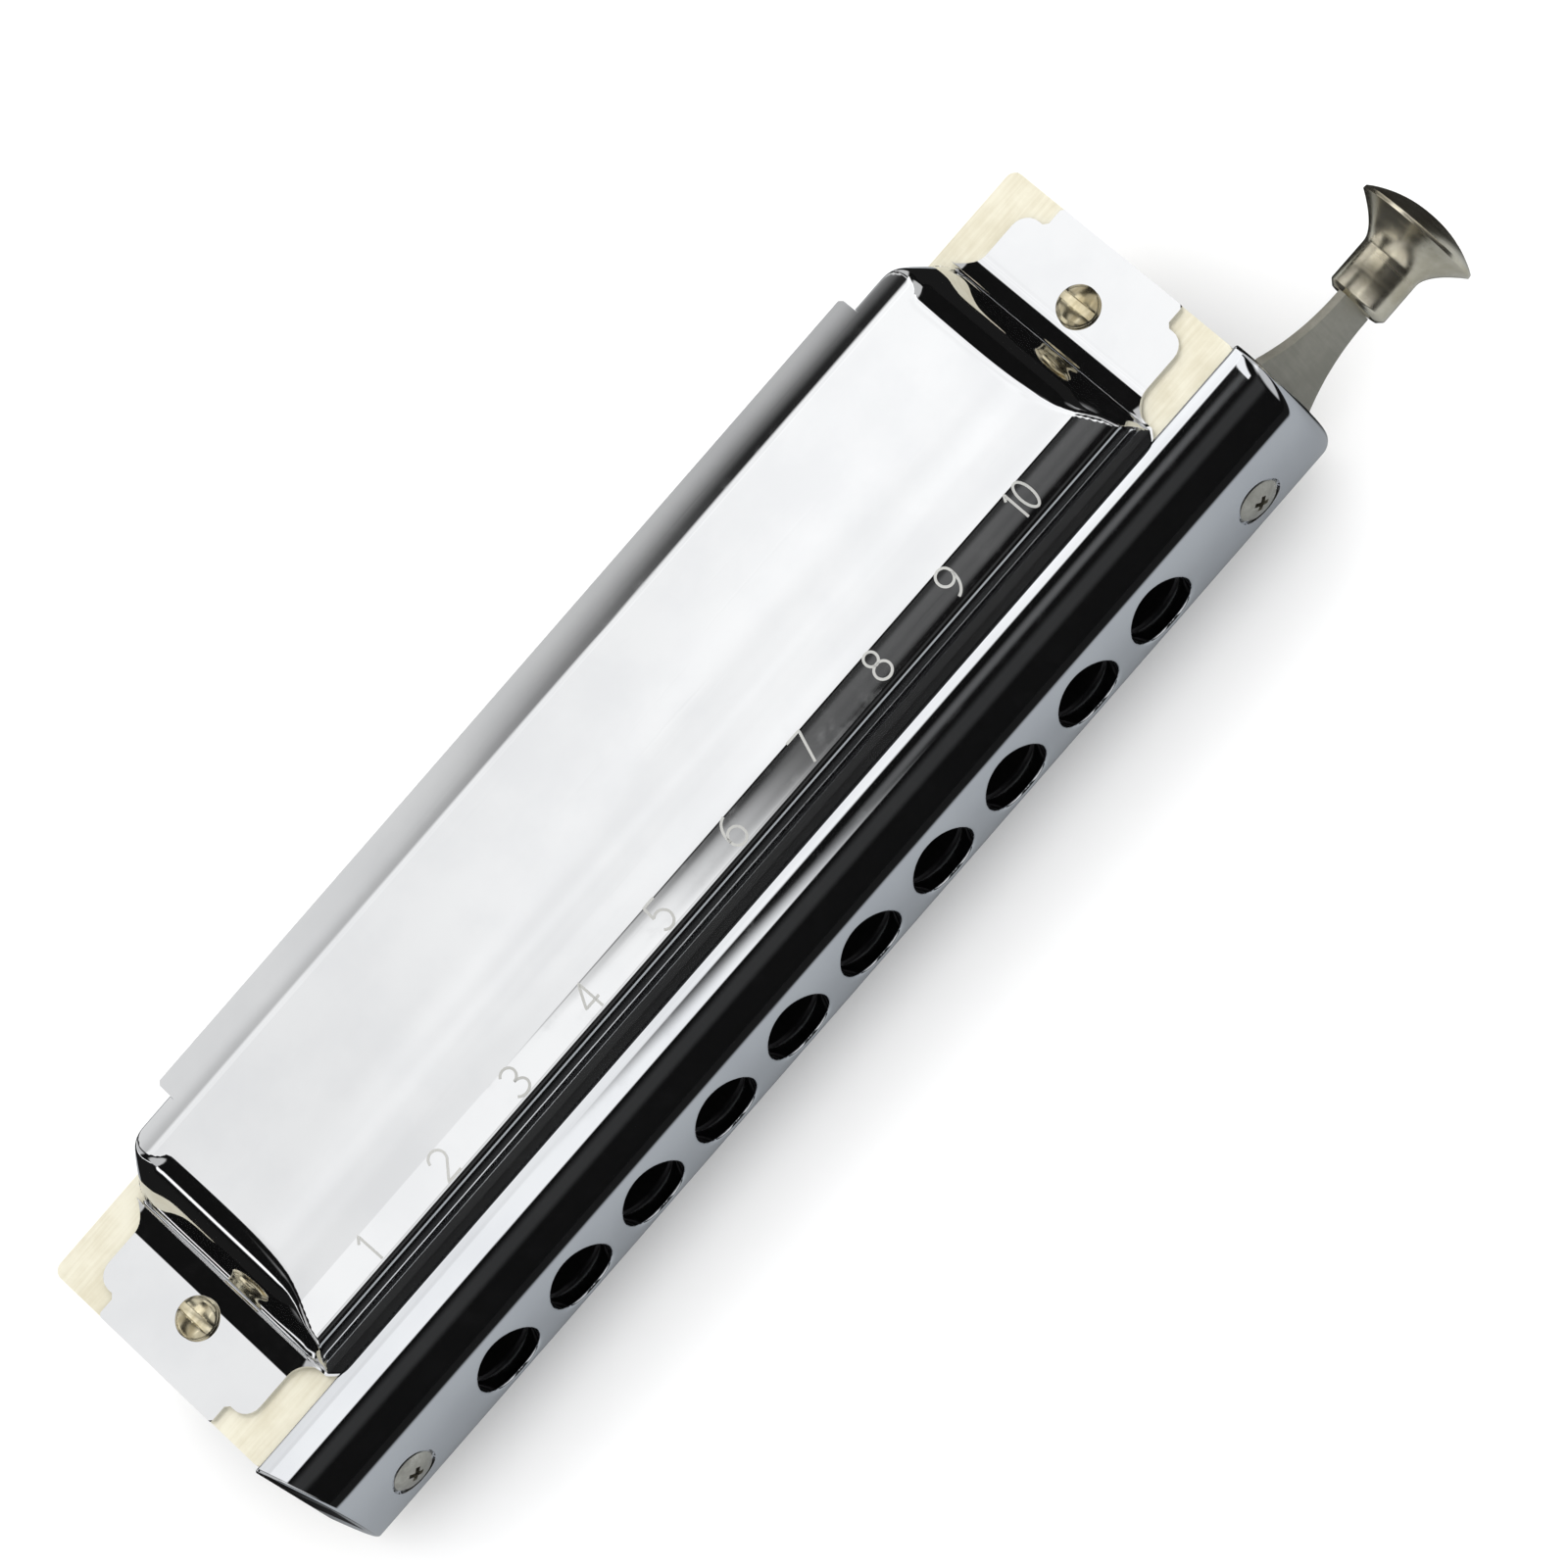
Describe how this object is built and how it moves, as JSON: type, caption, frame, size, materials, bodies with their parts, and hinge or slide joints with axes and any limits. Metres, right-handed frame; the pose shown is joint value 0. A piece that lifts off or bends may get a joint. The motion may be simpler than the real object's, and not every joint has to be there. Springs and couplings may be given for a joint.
{
  "type": "harmonica",
  "caption": "Chromatic harmonica with a sprung slide button, round mouth holes, pressed chrome covers, brass reed plates and reeds.",
  "frame": {"origin": "on the flat crown of the lower cover, under the middle of the hole row and on the line of the cover screws", "axes": "+X towards the slide button and the highest hole, +Z out of the numbered upper cover, the mouth holes face -Y"},
  "size_m": [0.1464, 0.037, 0.028],
  "materials": {
    "chrome": "mirror chrome plate on pressed brass sheet",
    "mouthpiece_chrome": "mirror chrome plate, polished",
    "plate_brass": "pale bright brass sheet",
    "reed_brass": "filed brass",
    "screw_brass": "turned brass, lightly plated",
    "comb_plastic": "black moulded plastic",
    "valve_film": "thin translucent film",
    "slide_steel": "satin nickel silver sheet",
    "channel_brass": "plated brass sheet",
    "button_nickel": "turned, polished nickel plate",
    "screw_steel": "nickel plated steel",
    "bumper_rubber": "soft black silicone sleeve",
    "spring_steel": "bright spring wire"
  },
  "bodies": {
    "body": {"comb": "comb_plastic", "upper_reed_plate": "plate_brass", "upper_blow_reeds": "reed_brass", "upper_draw_reeds": "reed_brass", "upper_reed_rivets": "screw_brass", "upper_blow_valves": "valve_film", "upper_draw_valves": "valve_film", "upper_plate_pins": "screw_brass", "upper_cover": "chrome", "lower_reed_plate": "plate_brass", "lower_blow_reeds": "reed_brass", "lower_draw_reeds": "reed_brass", "lower_reed_rivets": "screw_brass", "lower_blow_valves": "valve_film", "lower_draw_valves": "valve_film", "lower_plate_pins": "screw_brass", "lower_cover": "chrome", "cover_screw_left": "screw_brass", "cover_nut_left": "screw_brass", "mouthpiece_screw_left": "screw_steel", "slide_bumper_left": "bumper_rubber", "cover_screw_right": "screw_brass", "cover_nut_right": "screw_brass", "mouthpiece_screw_right": "screw_steel", "slide_bumper_right": "bumper_rubber", "mouthpiece": "mouthpiece_chrome", "slide_channel": "channel_brass", "slide_spring": "spring_steel"},
    "slide": {"slide": "slide_steel", "slide_button": "button_nickel"}
  },
  "joints": [
    {"name": "slide_travel", "type": "slide", "parent": "body", "child": "slide", "axis": [-1, 0, 0], "range_m": [0, 0.0047], "stiffness_N_per_m": 250, "springref_m": -0.006, "deforming": ["slide_spring"]}
  ]
}
